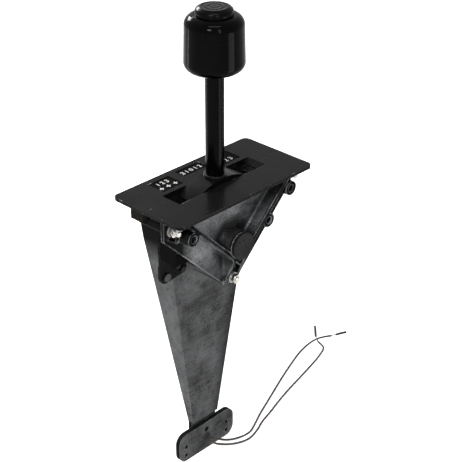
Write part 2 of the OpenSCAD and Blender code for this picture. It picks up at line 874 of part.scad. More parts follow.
// Hub with the lever's socket, the neutral notch and the switch lobe
module lever_hub() {
    color(c_cast)
        difference() {
            union() {
                along_y(0, -pivot_drop, hub_r, -hub_front, hub_back);
                translate([0, 0, -pivot_drop]) cylinder(r = socket_r, h = pivot_drop - socket_top);
                slab_y(-cam_front, -cam_back)
                    translate([0, -pivot_drop])
                        polygon([[-hub_r + 2, 9], [-cam_r + 1.5, 2], [-cam_r, 0.6], [-cam_r, -3.5],
                            [-cam_r + 1.5, -5], [-hub_r + 2, -10]]);
            }
            hub_limit();
            along_y(0, -pivot_drop, shaft_d / 2 + fit, -20, 20);
            translate([0, 0, -socket_floor]) cylinder(d = tube_d + 2 * fit, h = 30);
            slab_y(-20, 20) translate([0, -leaf_top]) circle(notch_r);
            translate([0, 0, -pivot_drop]) cylinder(d = rod_d + 2 * rod_play, h = pivot_drop - socket_top);
            pin_hole();
        }
}

// Hole for the hub pin, through the hub's socket and the tube
module pin_hole() {
    translate([-socket_r - 5, 0, pin_z])
        rotate([0, 90, 0]) cylinder(d = pin_d + 2 * fit, h = 2 * socket_r + 10);
}

// Trims the socket where it would pass the hub's side faces
module hub_limit() {
    for (y = [-hub_front - 10, hub_back])
        translate([-30, y, -pivot_drop - 30]) cube([60, 10, 60]);
}

// Spring pin through the hub's socket and the tube's wall
module hub_pin() {
    color(c_steel)
        for (x = [-socket_r, tube_bore / 2 + 0.2])
            translate([x, 0, pin_z])
                rotate([0, 90, 0]) cylinder(d = pin_d, h = socket_r - tube_bore / 2 - 0.2);
}

module pivot_shaft() {
    color(c_steel) {
        along_y(0, -pivot_drop, shaft_d / 2, -shaft_front, arm_y[0]);
        along_y(0, -pivot_drop, shaft_neck_d / 2, arm_y[0] - 1, shaft_back);
    }
}

// Arm in the channel that pulls the cable
module throttle_arm() {
    color(c_zinc)
        difference() {
            slab_y(arm_y[0], arm_y[1])
                hull() {
                    translate([0, -pivot_drop]) circle(d = arm_w + 4, $fn = 32);
                    translate([0, -pivot_drop - arm_l]) circle(d = arm_w, $fn = 32);
                }
            along_y(0, -pivot_drop, shaft_neck_d / 2 + fit, 0, 60);
            along_y(0, -pivot_drop - arm_l, swivel_d / 2 + fit, 0, 60);
        }
}

module arm_washer() {
    color(c_zinc)
        ring_y(0, -pivot_drop, arm_w / 2 + 1, shaft_neck_d / 2 + fit, arm_y[1], arm_y[1] + 1.5);
}

module arm_nut() {
    color(c_zinc)
        difference() {
            translate([0, arm_y[1] + 1.5, -pivot_drop])
                rotate([-90, 0, 0]) cylinder(r = 7.2, h = 5, $fn = 6);
            along_y(0, -pivot_drop, shaft_neck_d / 2 + fit, 20, 60);
        }
}

// Swivel at the arm's end, drilled across for the cable's rod
module cable_swivel() {
    z = -pivot_drop - arm_l;
    color(c_brass)
        difference() {
            union() {
                along_y(0, z, swivel_d / 2, arm_y[0] - 1.6, arm_y[1] + gap + 0.1);
                along_y(0, z, swivel_head_r, arm_y[1] + gap, arm_y[1] + 7.5);
                along_y(0, z, swivel_head_r - 0.6, arm_y[0] - 2.4, arm_y[0] - gap);
            }
            translate([0, swivel_rod_y, z - 10]) cylinder(d = swivel_rod_d, h = 20);
            for (s = [-1, 1])
                translate([-10, arm_y[1], z + s * (swivel_flat + 5) - 5]) cube([20, 10, 10]);
        }
}

module lever_tube() {
    color(c_black)
        difference() {
            translate([0, 0, -socket_floor]) cylinder(d = tube_d, h = socket_floor + tube_top);
            translate([0, 0, -socket_floor - 1]) cylinder(d = tube_bore, h = socket_floor + tube_top + 2);
            pin_hole();
        }
}

// Bright washer where the tube leaves the dome
module tube_washer() {
    color(c_steel) ring_z(dome_w / 2 + 0.1, tube_d / 2 + fit, dome_top(), dome_top() + 1.2);
}

function dome_top() = dome_r - pivot_drop + 0.4;

// Sector between two radii about the pivot, in X and Z, over a half angle
module dome_sector(r_out, r_in, a) {
    translate([0, -pivot_drop])
        intersection() {
            difference() {
                circle(r_out, $fn = 160);
                circle(r_in, $fn = 160);
            }
            polygon([[0, 0], [-2 * r_out * sin(a), 2 * r_out * cos(a)], [2 * r_out * sin(a), 2 * r_out * cos(a)]]);
        }
}

// Shoe that closes the slot round the lever
module slot_dome() {
    hw = dome_w / 2;
    color(c_black)
        difference() {
            union() {
                slab_y(-hw, hw) dome_sector(dome_r, dome_r - dome_wall, dome_half_angle);
                for (y = [-hw, hw - dome_cheek])
                    slab_y(y, y + dome_cheek)
                        dome_sector(dome_r - 0.5, dome_r - dome_wall - dome_skirt, dome_cheek_angle);
                translate([0, 0, dome_top() - 8]) cylinder(r = hw, h = 8);
            }
            translate([0, 0, -20]) cylinder(d = tube_d + 2 * fit, h = 60);
        }
}

module neck_collar() {
    color(c_black) ring_z(tube_d / 2 + 2, tube_d / 2 + fit, knob_z - 3, knob_z);
}

module knob_bush() {
    color(c_brass) ring_z(bush_r, tube_d / 2 + fit, knob_z + 1, bush_top);
}

// Outline of the knob, revolved about the lever
module knob_outline() {
    top = knob_z + knob_h;
    difference() {
        union() {
            translate([0, knob_z]) square([knob_r - knob_round_low, knob_h]);
            polygon([[0, knob_taper_z], [knob_r, knob_taper_z], [knob_top_r, top - knob_round_top],
                [0, top - knob_round_top]]);
            translate([knob_r - knob_round_low, knob_taper_z]) circle(knob_round_low);
            translate([knob_top_r - knob_round_top, top - knob_round_top]) circle(knob_round_top);
            translate([0, knob_taper_z]) square([knob_top_r - knob_round_top, knob_h - knob_round_low]);
        }
        translate([-50, knob_z]) square([50, knob_h + 10]);
    }
}

module knob() {
    top = knob_z + knob_h;
    color(c_black)
        difference() {
            rotate_extrude($fn = 96) knob_outline();
            translate([0, 0, knob_z - 1]) cylinder(d = tube_d + 2 * fit, h = tube_top - knob_z + 1.2);
            translate([0, 0, tube_top]) cylinder(d = rod_d + 2 * rod_play, h = knob_h);
            translate([0, 0, knob_z + 1]) cylinder(r = bush_r + fit, h = bush_top - knob_z - 1);
            translate([0, 0, cavity_floor]) cylinder(r = button_r + cavity_clear, h = top);
        }
}

// Button cap with a skirt that slides in the knob
module release_button() {
    top = knob_z + knob_h + button_proud;
    skirt = top - button_proud - button_skirt;
    color(c_black)
        difference() {
            rotate_extrude($fn = 96)
                intersection() {
                    union() {
                        translate([0, skirt]) square([button_r, button_skirt]);
                        translate([0, top - button_proud]) square([button_r, button_proud - button_round]);
                        translate([0, top - button_round - 0.1])
                            square([button_top_r - button_round + 1.6, button_round + 0.1]);
                        translate([button_r - button_round, top - button_round]) circle(button_round);
                    }
                    translate([0, skirt]) square([button_r, top - skirt]);
                }
            difference() {
                translate([0, 0, skirt - 1]) cylinder(r = button_r - button_wall, h = button_skirt + 1);
                translate([0, 0, skirt - 2]) cylinder(r = rod_d / 2 + 2, h = button_skirt + 3);
            }
            translate([0, 0, skirt - 1]) cylinder(d = rod_d + 2 * fit, h = button_skirt + 1);
        }
}

module release_rod() {
    top = knob_z + knob_h;
    color(c_steel)
        translate([0, 0, -socket_floor - 1]) cylinder(d = rod_d, h = top - 1 + socket_floor + 1);
}

// Points of a ring of the spring's wire at a turn angle
function spring_ring(a, z0, pitch) = [for (k = [0:5])
    let (r = spring_r + spring_wire / 2 * cos(60 * k), z = z0 + pitch * a / 360 + spring_wire / 2 * sin(60 * k))
    [r * cos(a), r * sin(a), z]];

// Tube through a list of rings, with flat ends
module sweep(rings) {
    n = len(rings);
    s = len(rings[0]);
    faces = concat([[for (k = [s - 1:-1:0]) k]], [for (i = [0:n - 2], k = [0:s - 1])
        [i * s + k, i * s + (k + 1) % s, (i + 1) * s + (k + 1) % s, (i + 1) * s + k]],
        [[for (k = [0:s - 1]) (n - 1) * s + k]]);
    polyhedron(points = [for (ring = rings, p = ring) p], faces = faces, convexity = 6);
}

module button_spring() {
    z0 = cavity_floor + spring_wire / 2 + 0.1;
    length = knob_z + knob_h - 0.2 - spring_wire - 0.2 - cavity_floor;
    pitch = length / spring_turns;
    color(c_steel)
        sweep([for (i = [0:18 * spring_turns]) spring_ring(-20 * i, z0, -pitch)]);
}

// Rubber grommet in the foot plate
module wire_grommet() {
    color(c_plastic)
        difference() {
            union() {
                along_y(0, -grommet_z, grommet_hole_d / 2 - fit, foot_face - 0.5, foot_face + foot_t);
                along_y(0, -grommet_z, grommet_hole_d / 2 + 1, foot_face - 0.6, foot_face);
            }
            for (x = [-1.2, 1.2]) along_y(x, -grommet_z + 0.25, lead_d / 2 + 0.3, 0, foot_face - 0.2);
        }
}

function unit(v) = v / norm(v);

// Direction of a route at a point
function heading(r, i) = unit(r[min(i + 1, len(r) - 1)] - r[max(i - 1, 0)]);

// Catmull-Rom point between two route points
function between(r, i, t) =
    let (a = r[max(i - 1, 0)], b = r[i], c = r[i + 1], d = r[min(i + 2, len(r) - 1)])
    0.5 * (2 * b + (c - a) * t + (2 * a - 5 * b + 4 * c - d) * t * t + (3 * b - a - 3 * c + d) * t * t * t);

function smooth(r, steps) = concat([for (i = [0:len(r) - 2], k = [0:steps - 1]) between(r, i, k / steps)],
    [r[len(r) - 1]]);

// Ring of a lead round a point of its route
function lead_ring(r, i) =
    let (h = heading(r, i), u = unit(cross(h, abs(h[2]) < 0.9 ? [0, 0, 1] : [1, 0, 0])), v = cross(u, h))
    [for (k = [0:lead_sides - 1])
        r[i] + lead_d / 2 * (cos(360 * k / lead_sides) * u + sin(360 * k / lead_sides) * v)];

module lead(route) {
    r = smooth(route, 2);
    sweep([for (i = [0:len(r) - 1]) lead_ring(r, i)]);
}

module lead_one() {
    color([0.30, 0.28, 0.26]) lead(lead_one_route);
}

module lead_two() {
    color([0.30, 0.28, 0.26]) lead(lead_two_route);
}

front_housing();
rear_housing();
top_plate_front();
top_plate_rear();
legend_left();
legend_middle();
legend_right();
plate_screws();
end_packing();
pivot_cap();
front_bush();
rear_bush();
friction_washer();
thrust_washer();
corner_bolts();
corner_nuts();
corner_washers();
lower_bolt();
lower_nut();
lower_washers();
detent_leaf();
detent_screw();
switch_body();
switch_bracket();
switch_screws();
bracket_screws();
lead_screw();
lead_nut();
switch_arm();
switch_plunger();
lever_hub();
hub_pin();
pivot_shaft();
throttle_arm();
arm_washer();
arm_nut();
lever_tube();
tube_washer();
slot_dome();
neck_collar();
knob_bush();
knob();
button_spring();
release_button();
release_rod();
cable_swivel();
wire_grommet();
lead_one();
lead_two();
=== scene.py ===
import math

import bmesh
import bpy
from mathutils import Matrix, Vector


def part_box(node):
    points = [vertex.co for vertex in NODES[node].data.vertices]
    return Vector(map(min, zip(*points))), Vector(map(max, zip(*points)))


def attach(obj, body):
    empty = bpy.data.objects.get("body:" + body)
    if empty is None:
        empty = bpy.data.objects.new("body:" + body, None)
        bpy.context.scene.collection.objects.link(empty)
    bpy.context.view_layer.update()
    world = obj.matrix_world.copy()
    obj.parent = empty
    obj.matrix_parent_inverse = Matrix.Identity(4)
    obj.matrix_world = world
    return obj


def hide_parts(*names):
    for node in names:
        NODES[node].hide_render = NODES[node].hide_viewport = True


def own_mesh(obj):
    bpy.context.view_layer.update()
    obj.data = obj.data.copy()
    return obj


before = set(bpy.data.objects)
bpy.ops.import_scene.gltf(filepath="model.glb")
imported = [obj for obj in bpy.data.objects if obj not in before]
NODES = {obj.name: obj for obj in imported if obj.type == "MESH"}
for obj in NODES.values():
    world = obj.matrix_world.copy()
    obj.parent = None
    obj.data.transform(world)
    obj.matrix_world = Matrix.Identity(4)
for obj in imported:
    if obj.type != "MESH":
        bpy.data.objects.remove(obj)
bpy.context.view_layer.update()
MM = 0.001

# Camera, at the photograph's viewing angle
CAMERA_AZIMUTH = math.radians(-46.2523)
CAMERA_ELEVATION = math.radians(29.1518)
CAMERA_ROLL = math.radians(-0.1195)
CAMERA_PLACE = (-0.6780, -0.6677, 0.4844)
CAMERA_LENS = 98.74
CAMERA_SENSOR = 36.0

# Floor under the foot plate, and the glow that makes it look white
FLOOR_Z = -0.289
FLOOR_SIZE = 12.0
FLOOR_GREY = 0.9
FLOOR_GLOW = 0.75

# World: how much it lights the object, and how bright it is where it is seen
WORLD_LIGHT = 0.20
WORLD_SEEN = 1.0

# Lamps: name, place, aim, size and power. Streak lamps show in glossy surfaces only, and light nothing else.
LAMPS = (
    ("key_light", (-1.35, -0.62, 0.95), (0, 0, -0.10), (0.35, 0.35), 18),
    ("back_light", (0.26, 1.05, 0.62), (0, 0, 0), (0.45, 0.25), 13),
    ("top_light", (-0.42, -0.44, 1.75), (0, 0, 0.02), (0.9, 0.10), 12),
)
STREAK_LAMPS = (
    ("left_strip", (-0.21, 0.47, -0.13), (0, 0, 0.12), (0.03, 0.30), 0.30),
    ("right_strip", (0.16, -0.48, -0.13), (0, 0, 0.12), (0.22, 0.25), 0.9),
    ("vee_strip", (-0.30, -0.62, 0.30), (0.03, -0.03, -0.04), (0.06, 0.5), 1.6),
)

# Leads, from the grommet to their tips
LEAD_DIAMETER = 0.002
LEAD_STEPS = 10
LEAD_ONE_ROUTE = [
    (-0.0012, 0.0122, -0.2754), (-0.0016, 0.0094, -0.2759), (-0.0018, 0.0064, -0.2767),
    (0, 0.0024, -0.2778), (0.0034, -0.0008, -0.2792), (0.0124, -0.0061, -0.2816),
    (0.024, -0.0086, -0.2846), (0.0376, -0.0084, -0.2874), (0.052, -0.0046, -0.288),
    (0.066, 0.001, -0.288), (0.082, 0.0055, -0.288), (0.105, 0.0125, -0.288),
    (0.128, 0.0185, -0.288), (0.148, 0.023, -0.288), (0.169, 0.028, -0.288),
    (0.183, 0.0315, -0.288), (0.194, 0.035, -0.288), (0.202, 0.038, -0.288),
    (0.207, 0.042, -0.288), (0.209, 0.047, -0.288), (0.211, 0.053, -0.288),
    (0.215, 0.059, -0.288), (0.223, 0.0665, -0.288), (0.231, 0.074, -0.288),
]
LEAD_TWO_ROUTE = [
    (0.0012, 0.0122, -0.2751), (0.0017, 0.0102, -0.2756), (0.0038, 0.0077, -0.2772),
    (0.0079, 0.0046, -0.2788), (0.0159, -0.0002, -0.2816), (0.0288, -0.0026, -0.2848),
    (0.045, -0.0016, -0.2876), (0.061, 0.0052, -0.288), (0.074, 0.0113, -0.288),
    (0.1, 0.022, -0.288), (0.129, 0.034, -0.288), (0.156, 0.0444, -0.288),
    (0.182, 0.0532, -0.288), (0.2, 0.0554, -0.2866), (0.21, 0.0542, -0.2856),
    (0.22, 0.052, -0.2864), (0.23, 0.0488, -0.288), (0.239, 0.0452, -0.288),
    (0.246, 0.042, -0.288),
]

# Tips of the leads: how far from the tip the slug of sleeve ends, and how far the bare strands do
LEAD_ONE_TIP = (0.021, 0.030)
LEAD_TWO_TIP = (0.013, 0.019)
STRANDS_OVER_LEAD = 1.04
SLUG_OVER_LEAD = 1.2

# Bolts, in the CAD's sizes: places of the ends along Y, and of the axes in X and Z
BOLT_R = 0.0025
BOLT_HEAD_R = 0.0043
BOLT_CHAMFER = 0.0008
TIP_STEP = 0.0001
CORNER_AXES = ((-0.069, -0.0115), (0.072, -0.0095))
CORNER_ENDS = (-0.028, 0.018)
CORNER_THREAD = 0.010
CORNER_HEAD = 0.003
LOWER_AXIS = (0.0, -0.084)
LOWER_ENDS = (-0.0275, 0.019)
LOWER_THREAD = 0.007
LOWER_BACK_R = 0.0018

# Domed tip of the lower bolt, as distances from its end with their radii, and its hexagon: the distances
# at which the bevels and the flats start and end, and the radius at the ends of the bevels
LOWER_TIP = ((0, 0.0012), (0.0003, 0.0019), (0.0009, 0.0024), (0.0016, BOLT_R))
LOWER_HEAD = (0.0016, 0.0020, 0.0046, 0.0050)
LOWER_BEVEL_R = 0.0035

# Threads
THREAD_PITCH = 0.001
THREAD_DEPTH = 0.0005
THREAD_RUN_OUT = 0.0004
PLACES_A_PITCH = 8
AROUND = 48

# Springs
SPRING_WIRE = 0.0012
SPRING_TURNS = 4
COIL_STEPS = 24
COIL_SIDES = 10

# Directions along which the castings' shades are painted in. The last two cross the channel's right edge and
# the V's right arm.
ACROSS = (1, 0, 0)
REARWARD = (0, 1, 0)
UP = (0, 0, 1)
OFF_TAPER = (1, 0, -0.143)
OFF_ARM = (0.719, 0, -0.695)
PIVOT = (0, 0, -0.048)

# Shades painted into the two housings' colour: direction, where the shade starts and is full, depth, and
# where it fades in
CHANNEL_PAINTED_SHADES = (
    # painted shade over the channel's top, under the plate
    (UP, -0.072, -0.046, 0.94),
    # painted shade along the channel's right edge, stopping at the foot
    (OFF_TAPER, 0.040, 0.0525, 0.62, (-0.258, -0.250)),
)
# Painted shade on the foot's rim and the walls of its holes, full below these heights
CHANNEL_SIDE_PAINTED_SHADE = (-0.250, -0.253)
FRONT_SHADES = (
    # darker on the ribs' front faces
    (REARWARD, -0.0275, -0.0290, 0.85),
    # painted shade over the right of the pocket
    (ACROSS, 0.012, 0.045, 0.50),
    # painted shade over the V's right arm
    (OFF_ARM, 0.0475, 0.0495, 0.86),
    # painted shade at the left end, under the plate
    (ACROSS, -0.047, -0.057, 0.95),
    # darker towards the bottom of the V
    (UP, -0.050, -0.068, 0.60),
)
# Painted shade round the pivot boss, between these distances from its axis
FRONT_BOSS_PAINTED_SHADE = (0.0245, 0.0175)
# Levels the painted shades darken to, the depths of the boss and side shades, and the share of shine the
# boss shade keeps
SHADE_LEVEL = 0.005
SIDE_LEVEL = 0.003
BOSS_DEPTH = 0.75
BOSS_SHINE = 0.2
SIDE_DEPTH = 0.9

# Marks on the legend inserts, with sizes in mm: insert, text, height and place along Y
MARKS = (
    ("legend_left", "1 2 3", 6.5, 4.2),
    ("legend_left", "+ + +", 9.0, -3.8),
    ("legend_middle", "2 1 0 1 2", 6.5, 0.0),
    ("legend_right", "1 2 3", 7.0, -4.0),
)
MARK_THICK = 0.02
MARK_BOLD = 0.12
MARK_LIFT = 0.03

# Colour of the springs and the steel nodes, and how far the plate's coat rounds its edges
STEEL = (0.42, 0.43, 0.45, 1)
COAT_EDGE = 0.0005


def add_object(name, data):
    thing = bpy.data.objects.new(name, data)
    bpy.context.scene.collection.objects.link(thing)
    return thing


# Materials

class Graph:
    """A material's nodes, with short ways to add and join them."""

    def __init__(self, name):
        self.material = bpy.data.materials.new(name)
        self.material.use_nodes = True
        self.tree = self.material.node_tree
        self.shader = self.tree.nodes["Principled BSDF"]
        self.place = self.add("TexCoord").outputs["Object"]

    def add(self, kind, inputs=None, **settings):
        node = self.tree.nodes.new("ShaderNode" + kind)
        for key, value in settings.items():
            setattr(node, key, value)
        for key, value in (inputs or {}).items():
            self.feed(node.inputs[key], value)
        return node

    def feed(self, socket, value):
        if isinstance(value, bpy.types.NodeSocket):
            self.tree.links.new(value, socket)
        else:
            socket.default_value = value

    def set(self, **values):
        """Gives the shader's sockets their values or links. An underscore stands for a space."""
        for key, value in values.items():
            self.feed(self.shader.inputs[key.replace("_", " ")], value)

    def noise(self, size, detail=3.0, stretch=(1, 1, 1), rough=0.55):
        """Noise whose features are about size metres across."""
        where = self.add("Mapping", {"Vector": self.place, "Scale": stretch}).outputs["Vector"]
        made = self.add("TexNoise", {"Vector": where, "Scale": 1.0 / size, "Detail": detail,
                                     "Roughness": rough})
        return made.outputs["Fac"]

    def spread(self, value, low, high, start=0.3, end=0.7):
        """Maps a factor between start and end to low and high."""
        made = self.add("MapRange", {"Value": value, "From Min": start, "From Max": end,
                                     "To Min": low, "To Max": high})
        return made.outputs["Result"]

    def blend(self, factor, first, second):
        """Mixes two colours by a factor."""
        made = self.add("Mix", data_type="RGBA")
        self.feed(made.inputs[0], factor)
        self.feed(made.inputs[6], first)
        self.feed(made.inputs[7], second)
        return made.outputs[2]

    def bump(self, height, depth, normal):
        made = self.add("Bump", {"Height": height, "Distance": depth, "Strength": 1.0, "Normal": normal})
        return made.outputs["Normal"]

    def soft_edges(self, radius):
        return self.add("Bevel", {"Radius": radius}, samples=4).outputs["Normal"]

    def face_normal(self):
        return self.add("NewGeometry").outputs["True Normal"]

    def near_edges(self, radius, low, high):
        """1 along sharp edges, and 0 on open faces."""
        turn = self.add("VectorMath", {0: self.soft_edges(radius), 1: self.face_normal()},
                        operation="DOT_PRODUCT")
        return self.spread(turn.outputs["Value"], 1, 0, low, high)

    def times(self, first, second):
        return self.add("Math", {0: first, 1: second}, operation="MULTIPLY").outputs["Value"]

    def along(self, direction, low, high):
        """Rises from 0 to 1 between two places along a direction of the object."""
        run = self.add("VectorMath", {0: self.place, 1: direction}, operation="DOT_PRODUCT")
        return self.spread(run.outputs["Value"], 0, 1, low, high)

    def near_pivot(self, outer, inner):
        """Rises from 0 to 1 between two distances from the pivot's axis."""
        away = self.add("VectorMath", {0: self.place, 1: PIVOT}, operation="SUBTRACT").outputs["Vector"]
        flat = self.add("VectorMath", {0: away, 1: (1, 0, 1)}, operation="MULTIPLY").outputs["Vector"]
        reach = self.add("VectorMath", {0: flat}, operation="LENGTH").outputs["Value"]
        return self.spread(reach, 0, 1, outer, inner)

    def off_front(self):
        """1 on faces that turn away from Y, and 0 on faces that look along it."""
        along_y = self.add("SeparateXYZ", {"Vector": self.face_normal()}).outputs["Y"]
        size = self.add("Math", {0: along_y}, operation="ABSOLUTE").outputs["Value"]
        return self.spread(size, SIDE_DEPTH, 0, 0.5, 0.8)


def grey(level, warm=0.0):
    return (level * (1 + warm), level, level * (1 - warm), 1.0)


def shades_of(look, shades, boss_painted_shade, side_painted_shade):
    """Each shade painted into a casting's colour, with its level and the share of shine that it leaves."""
    found = []
    for direction, low, high, depth, *heights in shades:
        shade = look.times(look.along(direction, low, high), depth)
        for fade in heights:
            shade = look.times(shade, look.along(UP, *fade))
        found.append((shade, SHADE_LEVEL, 0))
    if boss_painted_shade:
        found.append((look.times(look.near_pivot(*boss_painted_shade), BOSS_DEPTH), SHADE_LEVEL, BOSS_SHINE))
    if side_painted_shade:
        found.append((look.times(look.along(UP, *side_painted_shade), look.off_front()), SIDE_LEVEL, 0))
    return found


def casting(name, level, metallic=0.2, edge=0.0007, cool=0.0, edge_rub_and_highlight=(0.08, 0.7), shades=(),
            boss_painted_shade=None, side_painted_shade=None):
    """Raw die casting: a soft mottle and fine grain, lighter along its edges as rubbed wear and painted
    highlight, and darkened where a shade says, most of it painted shade.

    A shade deepens between two places along a direction, and may fade in between two heights. The boss shade
    gives the two distances from the pivot between which the casting darkens, and the side shade the two
    heights below which its rim and the walls of its holes do; both are painted shade.
    """
    look = Graph(name)
    clouds = look.noise(0.030, 4.0, (1, 1, 0.7), 0.6)
    drawn = look.noise(0.007, 4.0, (0.35, 0.35, 1.8), 0.7)
    stains = look.noise(0.008, 5.0, (1.2, 1, 0.8), 0.75)
    grain = look.noise(0.0014, 3.0, (1, 1, 1.3), 0.75)
    scuffs = look.noise(0.012, 5.0, (1, 1, 0.25), 0.75)
    base = look.blend(look.spread(clouds, 0, 1, 0.36, 0.64), grey(level * 0.26, -cool),
                      grey(level * 2.0, -cool))
    base = look.blend(look.spread(drawn, 0, 0.45, 0.45, 0.65), base, grey(level * 2.4, -cool))
    base = look.blend(look.spread(stains, 0, 0.65, 0.56, 0.66), base, grey(level * 0.25, -cool))
    base = look.blend(look.spread(grain, 0, 0.55, 0.50, 0.68), base, grey(level * 3.6, -cool))
    nicks = look.times(look.spread(grain, 0, 1, 0.64, 0.68), look.spread(scuffs, 0, 1, 0.55, 0.61))
    base = look.blend(nicks, base, grey(min(0.6, level * 7)))
    shine = look.spread(clouds, metallic * 0.8, metallic * 1.2)
    # Paint each shade in: darken the colour and take the shine down with it
    for shade, dark, shine_left in shades_of(look, shades, boss_painted_shade, side_painted_shade):
        base = look.blend(shade, base, grey(dark))
        shine = look.times(shine, look.spread(shade, 1, shine_left, 0, 1))
    # Lighter along the edges: rubbed wear where the scuffs fall, with a painted highlight where a rounded
    # edge would catch the light
    rubbed_and_lit_edges = look.times(look.near_edges(edge * 2.0, 0.78, 0.99), look.spread(scuffs, *edge_rub_and_highlight, 0.42, 0.60))
    base = look.blend(rubbed_and_lit_edges, base, grey(min(0.7, level * 6.5), -cool))
    skin = look.bump(grain, 0.00010, look.soft_edges(edge))
    look.set(Base_Color=base, Metallic=shine, Specular_IOR_Level=look.times(shine, 0.15),
             Roughness=look.spread(clouds, 0.28, 0.44), Normal=look.bump(stains, 0.00010, skin))
    return look.material


def black_coat(name, level, rough, gloss, chips=0.0):
    """Satin black coat with a fine orange peel; where asked, chipped at the edges and lit along them by a
    painted highlight.
    """
    look = Graph(name)
    clouds = look.noise(0.03)
    base = look.blend(clouds, grey(level * 0.7), grey(level * 1.4))
    if chips:
        spots = look.spread(look.noise(0.010, rough=0.7), 0, 1, 0.615, 0.63)
        chipped = look.times(spots, look.near_edges(COAT_EDGE * 2.4, 0.72, 0.9))
        base = look.blend(chipped, base, grey(chips))
        # painted highlight: a light line along the coat's rounded edges
        painted_edge_highlight = look.times(look.near_edges(COAT_EDGE * 1.6, 0.75, 0.95), 0.5)
        base = look.blend(painted_edge_highlight, base, grey(level * 22))
    skin = look.bump(look.noise(0.0008, 2.0), 0.00003, look.soft_edges(COAT_EDGE))
    look.set(Base_Color=base, Specular_IOR_Level=gloss, Normal=skin,
             Roughness=look.spread(clouds, rough - 0.05, rough + 0.06))
    return look.material


def gloss_black(name, level, rough, gloss, rings=False):
    """Gloss moulded plastic, with faint turned rings on the button."""
    look = Graph(name)
    clouds = look.noise(0.02)
    normal = look.soft_edges(0.0005)
    if rings:
        wave = look.add("TexWave", {"Vector": look.place, "Scale": 70.0, "Distortion": 1.2, "Detail": 2.0},
                        wave_type="RINGS", rings_direction="Z")
        normal = look.bump(wave.outputs["Fac"], 0.0003, normal)
    look.set(Base_Color=look.blend(clouds, grey(level * 0.7), grey(level * 1.4)),
             Specular_IOR_Level=gloss, Roughness=look.spread(clouds, rough - 0.03, rough + 0.05),
             Normal=look.bump(look.noise(0.006, 2.0), 0.00006, normal))
    return look.material


def metal(name, colour, rough):
    """Plated or turned metal."""
    look = Graph(name)
    clouds = look.noise(0.004)
    dark = tuple(c * 0.6 for c in colour[:3]) + (1.0,)
    skin = look.bump(look.noise(0.0006, 2.0), 0.00004, look.soft_edges(0.0004))
    look.set(Base_Color=look.blend(look.spread(clouds, 0, 1), dark, colour), Metallic=1.0,
             Roughness=look.spread(clouds, rough - 0.06, rough + 0.08), Normal=skin)
    return look.material


def plain_plastic(name, colour, rough, size=0.01, edge=0.0004, gloss=0.2):
    """Moulded plastic, rubber or fibre with a light mottle."""
    look = Graph(name)
    clouds = look.noise(size)
    dark = tuple(c * 0.65 for c in colour[:3]) + (1.0,)
    light = tuple(min(1.0, c * 1.25) for c in colour[:3]) + (1.0,)
    skin = look.bump(look.noise(size / 12, 2.0), 0.00004, look.soft_edges(edge))
    look.set(Base_Color=look.blend(look.spread(clouds, 0, 1), dark, light), Specular_IOR_Level=gloss,
             Roughness=look.spread(clouds, rough - 0.06, rough + 0.06), Normal=skin)
    return look.material


def wear(thing, material):
    """Gives a node or piece one material."""
    thing.data.materials.clear()
    thing.data.materials.append(material)


# Camera

def camera_turn():
    """The camera's rotation, from its azimuth, elevation and roll."""
    around, rise, roll = CAMERA_AZIMUTH, CAMERA_ELEVATION, CAMERA_ROLL
    back = Vector((math.sin(around) * math.cos(rise), -math.cos(around) * math.cos(rise), math.sin(rise)))
    right = Vector((math.cos(around), math.sin(around), 0))
    up = back.cross(right)
    rolled_right = right * math.cos(roll) - up * math.sin(roll)
    rolled_up = right * math.sin(roll) + up * math.cos(roll)
    return Matrix((rolled_right, rolled_up, back)).transposed().to_4x4()


def make_camera():
    data = bpy.data.cameras.new("photo_camera")
    data.lens = CAMERA_LENS
    data.sensor_width = CAMERA_SENSOR
    camera = add_object("photo_camera", data)
    camera.matrix_world = Matrix.Translation(CAMERA_PLACE) @ camera_turn()
    bpy.context.scene.camera = camera


# Leads

def smooth_route(route, steps):
    """Points of a Catmull-Rom curve through the route."""
    points = [Vector(p) for p in route]
    last = len(points) - 1
    out = []
    for i in range(last):
        a, b = points[max(i - 1, 0)], points[i]
        c, d = points[i + 1], points[min(i + 2, last)]
        for k in range(steps):
            t = k / steps
            out.append(0.5 * (2 * b + (c - a) * t + (2 * a - 5 * b + 4 * c - d) * t * t
                              + (3 * b - a - 3 * c + d) * t ** 3))
    out.append(points[last])
    return out


def stretch_of(points, near, far):
    """The stretch of a line of points between two distances from its last point."""
    kept = []
    run = 0.0
    last = points[-1]
    for place in reversed(points):
        run += (last - place).length
        last = place
        if near <= run <= far:
            kept.append(place)
    return kept[::-1]


def tube_curve(name, points, radius, material):
    data = bpy.data.curves.new(name, "CURVE")
    data.dimensions = "3D"
    data.bevel_depth = radius
    data.bevel_resolution = 4
    data.use_fill_caps = True
    spline = data.splines.new("POLY")
    spline.points.add(len(points) - 1)
    for point, place in zip(spline.points, points):
        point.co = (*place, 1)
    spline.use_smooth = True
    data.materials.append(material)
    return add_object(name, data)


def make_lead(node, route, tip, looks):
    """One lead, with a stretch of bare strands and a slug of sleeve at its tip."""
    slug_end, strands_end = tip
    sleeve_look, strands_look, slug_look = looks
    points = smooth_route(route, LEAD_STEPS)
    radius = LEAD_DIAMETER / 2
    wire = tube_curve(node + "_wire", points, radius, sleeve_look)
    bare = tube_curve(node + "_bare", stretch_of(points, slug_end, strands_end),
                      radius * STRANDS_OVER_LEAD, strands_look)
    slug = tube_curve(node + "_slug", stretch_of(points, 0, slug_end), radius * SLUG_OVER_LEAD, slug_look)
    for thing in (wire, bare, slug):
        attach(thing, "root")
    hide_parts(node)


def make_leads():
    looks = (
        plain_plastic("lead_sleeve_look", (0.052, 0.043, 0.037, 1), 0.42, 0.006, 0.0001),
        metal("tinned_strand_look", (0.75, 0.72, 0.66, 1), 0.35),
        plain_plastic("slug_look", (0.012, 0.011, 0.010, 1), 0.5, 0.006, 0.0001),
    )
    make_lead("lead_one", LEAD_ONE_ROUTE, LEAD_ONE_TIP, looks)
    make_lead("lead_two", LEAD_TWO_ROUTE, LEAD_TWO_TIP, looks)


